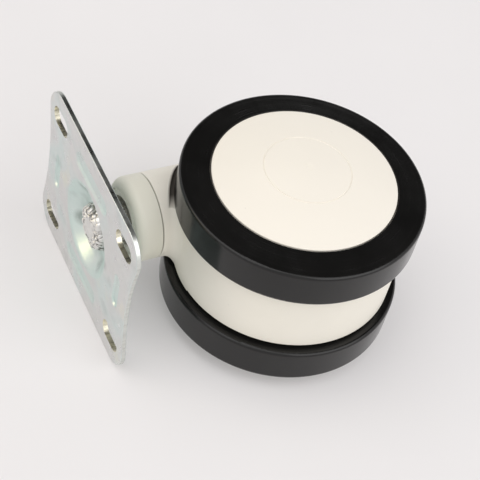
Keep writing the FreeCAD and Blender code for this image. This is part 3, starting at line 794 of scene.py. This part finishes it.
@dataclass(frozen=True)
class TyreRubber:
    """Black polyurethane, smooth from its mould, with the mould's faint rings and a few specks of dust."""

    name: str = "tyre_rubber"
    colour: Colour = (0.0062, 0.006, 0.0058)
    roughness: float = 0.18
    smoother: float = 0.06
    rougher: float = 0.1
    ior: float = 1.5
    specular: float = 0.38
    clouds: Blots = Blots(20.0 * MM, 5.0)
    cloud_ends: Pair = (0.35, 0.75)
    cloud_light: float = 1.5
    dust_pitch: float = 18.0 * MM
    dust_colour: Colour = (0.3, 0.3, 0.29)
    dust_and_shade_share: Span = Span(0.012, 0.02, 0.6, 0.0)
    ring_pitch: float = 1.1 * MM
    ring_relief: Relief = Relief(0.03 * MM, 0.4)
    wear: Blots = Blots(10.0 * MM, 6.0)
    worn_ends: Pair = (0.1, 0.45)
    grain: Blots = Blots(0.5 * MM, 2.0)
    grain_relief: Relief = Relief(0.01 * MM, 0.5)
    sinks: Blots = Blots(30.0 * MM, 1.0)
    sink_relief: Relief = Relief(0.2 * MM, 0.25)

    def material(self) -> Material:
        """Build the material.

        Returns:
            The material.
        """
        graph = Graph(self.name)
        graph.set(ior=self.ior, specular_ior_level=self.specular)
        light = shaded(self.colour, self.cloud_light)
        colour = graph.blend(graph.noise(self.clouds), self.colour, light, self.cloud_ends)
        dust = graph.spread(graph.cells(self.dust_pitch), self.dust_and_shade_share)
        colour = graph.tint(colour, self.dust_colour, dust)
        rings = graph.rings(graph.from_line(axle_middle(), Axis.Y), self.ring_pitch)
        worn = Span(*self.worn_ends, self.roughness - self.smoother, self.roughness + self.rougher)
        roughness = graph.spread(graph.product(rings, graph.noise(self.wear)), worn)
        relief = graph.bump(graph.noise(self.grain), self.grain_relief)
        relief = graph.bump(rings, self.ring_relief, relief)
        relief = graph.bump(graph.noise(self.sinks), self.sink_relief, relief)
        graph.paint(colour, roughness, relief)
        return graph.material


@dataclass(frozen=True)
class TableTop:
    """Pale table: keeps most of its shadow where it is seen, glows on what faces it, clear from below."""

    name: str = "table_top"
    colour: Colour = (0.835, 0.815, 0.825)
    roughness: float = 0.9
    specular: float = 0.1
    clouds: Blots = Blots(90.0 * MM, 4.0)
    cloud_shade: float = 0.975
    glow: Colour = (0.80, 0.79, 0.78)
    shade_share: float = 0.75

    def material(self) -> Material:
        """Build the material.

        Returns:
            The material.
        """
        graph = Graph(self.name)
        graph.set(roughness=self.roughness, specular_ior_level=self.specular)
        dark = shaded(self.colour, self.cloud_shade)
        graph.paint(graph.blend(graph.noise(self.clouds), dark, self.colour))
        nodes = graph.tree.nodes
        glow = nodes.new("ShaderNodeEmission")
        glow.inputs["Color"].default_value = (*self.glow, 1.0)
        seen = graph.scaled(seen_rays(graph.tree), self.shade_share)
        upper = mix_shaders(graph.tree, seen, glow.outputs["Emission"], graph.shader.outputs["BSDF"])
        clear = nodes.new("ShaderNodeBsdfTransparent").outputs["BSDF"]
        below = nodes.new("ShaderNodeNewGeometry").outputs["Backfacing"]
        graph.join(mix_shaders(graph.tree, below, upper, clear), graph.output.inputs["Surface"])
        return graph.material


@dataclass(frozen=True)
class DarkCloth:
    """Dark cloth of the card that only mirrors show."""

    name: str = "dark_cloth"
    colour: Colour = (0.02, 0.02, 0.02)
    clouds: Blots = Blots(50.0 * MM)
    cloud_light: float = 1.5

    def material(self) -> Material:
        """Build the material.

        Returns:
            The material.
        """
        graph = Graph(self.name)
        graph.set(roughness=1.0, specular_ior_level=0.0)
        light = shaded(self.colour, self.cloud_light)
        graph.paint(graph.blend(graph.noise(self.clouds), self.colour, light))
        return graph.material


def dress(node: str, body: Body, finish: Material) -> None:
    """Give a CAD node its finish.

    Args:
        node: the node's name.
        body: the body that it belongs to.
        finish: the material.
    """
    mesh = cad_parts[node].data
    mesh.materials.clear()
    mesh.materials.append(finish)
    LOG.info("dressed %s of %s in %s", node, body.value, finish.name)


def add_piece(name: str, made: bmesh.types.BMesh, finish: Material) -> Piece:
    """Turn a finished mesh into a smooth object of the scene.

    Args:
        name: the piece's name.
        made: its mesh, which is freed.
        finish: its material.
    Returns:
        The object.
    """
    mesh = bpy.data.meshes.new(name)
    made.to_mesh(mesh)
    made.free()
    mesh.materials.append(finish)
    mesh.shade_smooth()
    piece = bpy.data.objects.new(name, mesh)
    bpy.context.scene.collection.objects.link(piece)
    LOG.info("built %s", piece.name)
    return piece


def add_sheet(name: str, middle: Vector, along: Vector, aside: Vector, finish: Material) -> Piece:
    """Lay a flat rectangle, which faces the way that along crossed with aside points.

    Args:
        name: the piece's name.
        middle: its middle.
        along: the way from there to one edge.
        aside: the way from there to the next edge.
        finish: its material.
    Returns:
        The object.
    """
    made = bmesh.new()
    corners = (-along - aside, along - aside, along + aside, -along + aside)
    made.faces.new([made.verts.new(middle + corner) for corner in corners])
    return add_piece(name, made, finish)


@dataclass(frozen=True)
class PeenedHead:
    """The rough upper end of the rivet, which the hammer has spread over the dish."""

    finish: PeenedSteel = PeenedSteel()
    radius: float = 9.7 * MM
    rings: int = 72
    spokes: int = 240
    rise: float = 1.1 * MM
    drop: float = 3.6 * MM
    drop_power: int = 10
    ragged: float = 0.12
    ragged_pace: float = 1.7
    ragged_start: Triple = (4.0, 1.0, 0.0)
    flat_share: float = 0.42
    flat_fade: float = 0.1
    lump_size: float = 2.4 * MM
    lump_height: float = 0.7 * MM
    lump_level: float = 0.4
    lump_start: Triple = (14.2, 2.2, 5.8)
    swirl: float = 0.35
    swirl_pace: float = 1.5
    swirl_apart: Triple = (0.0, 19.1, 37.7)
    struck_along: Triple = (0.75, -0.66, 0.0)
    struck_least: float = 0.25
    crack_share: float = 0.2
    crack_depth: float = 0.45 * MM

    def build(self) -> None:
        """Make the head as rings of points, closed to a point below."""
        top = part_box("kingpin")[1].z + self.rise
        made = bmesh.new()
        mark = made.verts.layers.float.new(self.finish.crack_mark)
        middle = made.verts.new((0.0, 0.0, top))
        under = made.verts.new((0.0, 0.0, top - self.drop))
        rings = []
        for ring in range(1, self.rings + 1):
            rings.append([])
            for spoke in range(self.spokes):
                point, crack = self.point(ring / self.rings, spoke, top)
                rings[-1].append(made.verts.new(point))
                rings[-1][-1][mark] = crack
        for spoke in range(self.spokes):
            after = (spoke + 1) % self.spokes
            made.faces.new((middle, rings[0][spoke], rings[0][after]))
            made.faces.new((under, rings[-1][after], rings[-1][spoke]))
            for inner, outer in zip(rings, rings[1:]):
                made.faces.new((inner[spoke], outer[spoke], outer[after], inner[after]))
        piece = add_piece("peened_head", made, self.finish.material())
        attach(piece, Body.PLATE.value)

    def point(self, share: float, spoke: int, top: float) -> tuple[Vector, float]:
        """A point of the head.

        Args:
            share: its distance from the middle, as a share of the head's radius.
            spoke: its place round the head.
            top: height of the head's middle.
        Returns:
            The point, and how deep in a crack it is, from 0 to 1.
        """
        angle = 2.0 * math.pi * spoke / self.spokes
        ahead = Vector((math.cos(angle), math.sin(angle), 0.0))
        ragged = abs(noise.noise(ahead * self.ragged_pace + Vector(self.ragged_start)))
        flat = ahead * (self.radius * share * (1.0 + self.ragged * ragged))
        near, next_near = noise.voronoi(self.swirled(flat / self.lump_size))[0][:2]
        rough = min(1.0, max(0.0, (share - self.flat_share) / self.flat_fade))
        lump = rough * (self.lump_level - near) * self.lump_height
        struck = min(1.0, self.struck_least + abs(ahead.dot(Vector(self.struck_along))))
        crack = rough * struck * max(0.0, 1.0 - (next_near - near) / self.crack_share)
        drop = share**self.drop_power * self.drop
        return Vector((flat.x, flat.y, top + lump - crack * self.crack_depth - drop)), crack

    def swirled(self, flat: Vector) -> Vector:
        """Where the pattern of lumps is read, so that the lumps run into each other unevenly.

        Args:
            flat: the point in the head's plane, in lumps.
        Returns:
            The point of the pattern.
        """
        spot = flat + Vector(self.lump_start)
        starts = [spot * self.swirl_pace + Vector((apart, 0.0, 0.0)) for apart in self.swirl_apart]
        return spot + Vector([noise.noise(start) for start in starts]) * self.swirl


@dataclass
class PlateAssembly:
    """Pressed plate with the kingpin riveted into its dish."""

    body: Body = Body.PLATE
    head: PeenedHead = PeenedHead()
    zinc: ZincPlating = ZincPlating()
    pin: Steel = Steel("kingpin_steel", (0.70, 0.70, 0.68), 0.26)
    bearing: Steel = BearingSteel("bearing_steel")
    spring: Steel = SpringSteel("spring_steel")

    def build(self) -> None:
        """Make the rivet's peened head."""
        self.head.build()

    def dress(self) -> None:
        """Finish the plate's nodes."""
        dress("top_plate", self.body, self.zinc.material())
        dress("kingpin", self.body, self.pin.material())
        dress("swivel_bearing_inner_ring", self.body, self.bearing.material())
        dress("kingpin_circlip", self.body, self.spring.material())


@dataclass
class ForkAssembly:
    """Moulded neck and drum with the collar, the axle and what is on it."""

    body: Body = Body.FORK
    housing: HousingPlastic = HousingPlastic("housing_plastic", (0.915, 0.87, 0.775))
    # The collar's cream is the housing's, darkened: painted shade from the plate above it
    collar: CollarPlastic = CollarPlastic("collar_plastic", (0.82, 0.795, 0.69))
    bush: MouldedPlastic = MouldedPlastic("bush_plastic", (0.78, 0.78, 0.75))
    steel: Steel = Steel("axle_steel", (0.66, 0.66, 0.65), 0.28)
    bearing: Steel = BearingSteel("race_steel")
    shield: Steel = ShieldSteel("shield_steel")
    spring: Steel = SpringSteel("clip_steel")

    def dress(self) -> None:
        """Finish the fork's nodes."""
        dress("fork_housing", self.body, self.housing.material())
        dress("neck_collar", self.body, self.collar.material())
        dress("kingpin_bush", self.body, self.bush.material())
        bearing = self.bearing.material()
        dress("swivel_bearing_outer_ring", self.body, bearing)
        dress("swivel_bearing_balls", self.body, bearing)
        dress("swivel_bearing_shields", self.body, self.shield.material())
        steel = self.steel.material()
        dress("axle", self.body, steel)
        spring = self.spring.material()
        for side in Side:
            dress(side.value + "_axle_spacer", self.body, steel)
            dress(side.value + "_axle_washer", self.body, steel)
            dress(side.value + "_bearing_inner_ring", self.body, bearing)
            dress(side.value + "_axle_circlip", self.body, spring)


@dataclass
class WheelAssembly:
    """One wheel: tyre, core, hub cap and the turning half of its bearing."""

    side: Side
    body: Body
    cap: MouldedPlastic = MouldedPlastic("cap_plastic", (0.895, 0.848, 0.762), roughness=0.38, cloud=0.012)
    core: MouldedPlastic = MouldedPlastic("core_plastic", (0.62, 0.58, 0.50))
    rubber: TyreRubber = TyreRubber()
    bearing: Steel = BearingSteel("wheel_race_steel")
    shield: Steel = ShieldSteel("wheel_shield_steel")

    def dress(self) -> None:
        """Finish the wheel's nodes."""
        prefix = self.side.value + "_"
        dress(prefix + "hub_cap", self.body, self.cap.material())
        dress(prefix + "wheel_core", self.body, self.core.material())
        dress(prefix + "tyre", self.body, self.rubber.material())
        bearing = self.bearing.material()
        dress(prefix + "bearing_outer_ring", self.body, bearing)
        dress(prefix + "bearing_balls", self.body, bearing)
        dress(prefix + "bearing_shields", self.body, self.shield.material())


@dataclass(frozen=True)
class Lamp:
    """A square soft lamp that looks at the caster."""

    name: str
    watts: float
    size: float
    distance: float
    lean: Triple
    colour: Colour

    def build(self, middle: Vector, towards: Vector) -> None:
        """Hang the lamp.

        Args:
            middle: point that it looks at.
            towards: direction of the lamp from there.
        """
        lamp = bpy.data.lights.new(self.name, "AREA")
        lamp.energy = self.watts
        lamp.size = self.size
        lamp.color = self.colour
        hung = bpy.data.objects.new(self.name, lamp)
        hung.location = middle + towards * self.distance
        hung.rotation_mode = "QUATERNION"
        hung.rotation_quaternion = towards.to_track_quat("Z", "Y")
        bpy.context.scene.collection.objects.link(hung)


@dataclass
class Studio:
    """The table, the soft light and the camera of the photograph."""

    table: TableTop = TableTop()
    table_half: float = 2.0
    table_gap: float = 0.1 * MM
    sky: Colour = (0.825, 0.82, 0.815)
    sky_fill: float = 0.73
    camera_place: Triple = (-0.31172, -0.39439, 0.14971)
    camera_ahead: Triple = (0.54297, 0.74267, -0.39195)
    camera_down: Triple = (-0.72964, 0.64829, 0.21760)
    camera_near: float = 0.01
    focal_pixels: float = 1300.0
    image_pixels: float = 480.0
    sensor: float = 36.0
    lamps: tuple[Lamp, ...] = (
        Lamp("right_box", 39.0, 3.0, 3.0, lean=(1.05, 0.7, 1.0), colour=(1.0, 0.985, 0.985)),
        Lamp("left_box", 31.0, 3.0, 3.0, lean=(-0.5, 0.18, 1.0), colour=(1.0, 0.985, 0.98)),
        Lamp("glint", 1.9, 0.62, 1.2, lean=(-0.95, 0.03, 0.22), colour=(1.0, 0.81, 0.46)),
    )
    card: DarkCloth = DarkCloth()
    card_lean: Triple = (0.0, -0.7, 1.0)
    card_distance: float = 1.0
    card_half: Pair = (0.9, 0.7)

    def build(self) -> None:
        """Set the whole studio up."""
        self.build_table()
        self.build_sky()
        self.build_camera()
        self.build_lamps()
        self.build_card()
        bpy.context.scene.view_settings.view_transform = "Standard"

    def table_normal(self) -> Vector:
        """Direction out of the table, from what the caster lies on.

        Returns:
            The unit vector.
        """
        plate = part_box("top_plate")[1]
        cap_low, cap_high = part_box("left_hub_cap")
        crown_height = (cap_low.z + cap_high.z) / 2
        slope = (plate.y - cap_high.y) / (plate.z - crown_height)
        return Vector((0.0, -1.0, slope)).normalized()

    def build_table(self) -> None:
        """Lay the table against the plate's left edge and the left hub cap's crown."""
        normal = self.table_normal()
        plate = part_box("top_plate")[1]
        middle = Vector((0.0, plate.y, plate.z)) - normal * self.table_gap
        along = Vector((self.table_half, 0.0, 0.0))
        add_sheet("table", middle, along, normal.cross(along), self.table.material())

    def build_sky(self) -> None:
        """Pale surroundings, seen at full strength and shining on the caster more softly."""
        world = bpy.data.worlds.new("studio")
        world.use_nodes = True
        bpy.context.scene.world = world
        tree = world.node_tree
        tree.nodes.clear()
        glows = []
        for strength in (self.sky_fill, 1.0):
            glow = tree.nodes.new("ShaderNodeBackground")
            glow.inputs["Color"].default_value = (*self.sky, 1.0)
            glow.inputs["Strength"].default_value = strength
            glows.append(glow.outputs["Background"])
        output = tree.nodes.new("ShaderNodeOutputWorld")
        tree.links.new(mix_shaders(tree, seen_rays(tree), *glows), output.inputs["Surface"])

    def camera_axes(self) -> tuple[Vector, Vector, Vector]:
        """The camera's right, up and backward directions.

        Returns:
            The three unit vectors.
        """
        back = -Vector(self.camera_ahead).normalized()
        right = (-Vector(self.camera_down)).cross(back).normalized()
        return right, back.cross(right), back

    def build_camera(self) -> None:
        """Stand the camera where the photograph was taken."""
        lens = bpy.data.cameras.new("camera")
        lens.sensor_width = self.sensor
        lens.lens = self.focal_pixels / self.image_pixels * self.sensor
        lens.clip_start = self.camera_near
        camera = bpy.data.objects.new("camera", lens)
        turn = Matrix(self.camera_axes()).transposed().to_4x4()
        camera.matrix_world = Matrix.Translation(self.camera_place) @ turn
        bpy.context.scene.collection.objects.link(camera)
        bpy.context.scene.camera = camera

    def lean(self, parts: Triple) -> Vector:
        """A direction by the picture's right, the picture's front and the table's normal.

        Args:
            parts: share of each of the three.
        Returns:
            The unit vector.
        """
        normal = self.table_normal()
        right, _, back = self.camera_axes()
        ways = [(way - normal * way.dot(normal)).normalized() for way in (right, back)]
        return sum((way * part for way, part in zip((*ways, normal), parts)), Vector()).normalized()

    def middle(self) -> Vector:
        """Middle of the caster's box."""
        return (CAD_BOX[0] + CAD_BOX[1]) / 2

    def build_lamps(self) -> None:
        """Hang a large soft lamp on each side, and the small warm one that shines in the plate's dish."""
        for lamp in self.lamps:
            lamp.build(self.middle(), self.lean(lamp.lean))

    def build_card(self) -> None:
        """Stretch the dark card over the back of the table, where the tyres' walls mirror it."""
        towards = self.lean(self.card_lean)
        right = self.camera_axes()[0]
        across = (right - towards * right.dot(towards)).normalized()
        along = towards.cross(across)
        middle = self.middle() + towards * self.card_distance
        half_across, half_along = self.card_half
        card = add_sheet("dark_card", middle, across * half_across, along * half_along, self.card.material())
        card.visible_camera = False
        card.visible_diffuse = False
        card.visible_shadow = False


def main() -> None:
    """Build and dress the caster and its studio."""
    logging.basicConfig(level=logging.INFO)
    plate = PlateAssembly()
    plate.build()
    plate.dress()
    ForkAssembly().dress()
    for side, body in ((Side.RIGHT, Body.RIGHT_WHEEL), (Side.LEFT, Body.LEFT_WHEEL)):
        WheelAssembly(side, body).dress()
    Studio().build()


if __name__ == "__main__":
    main()
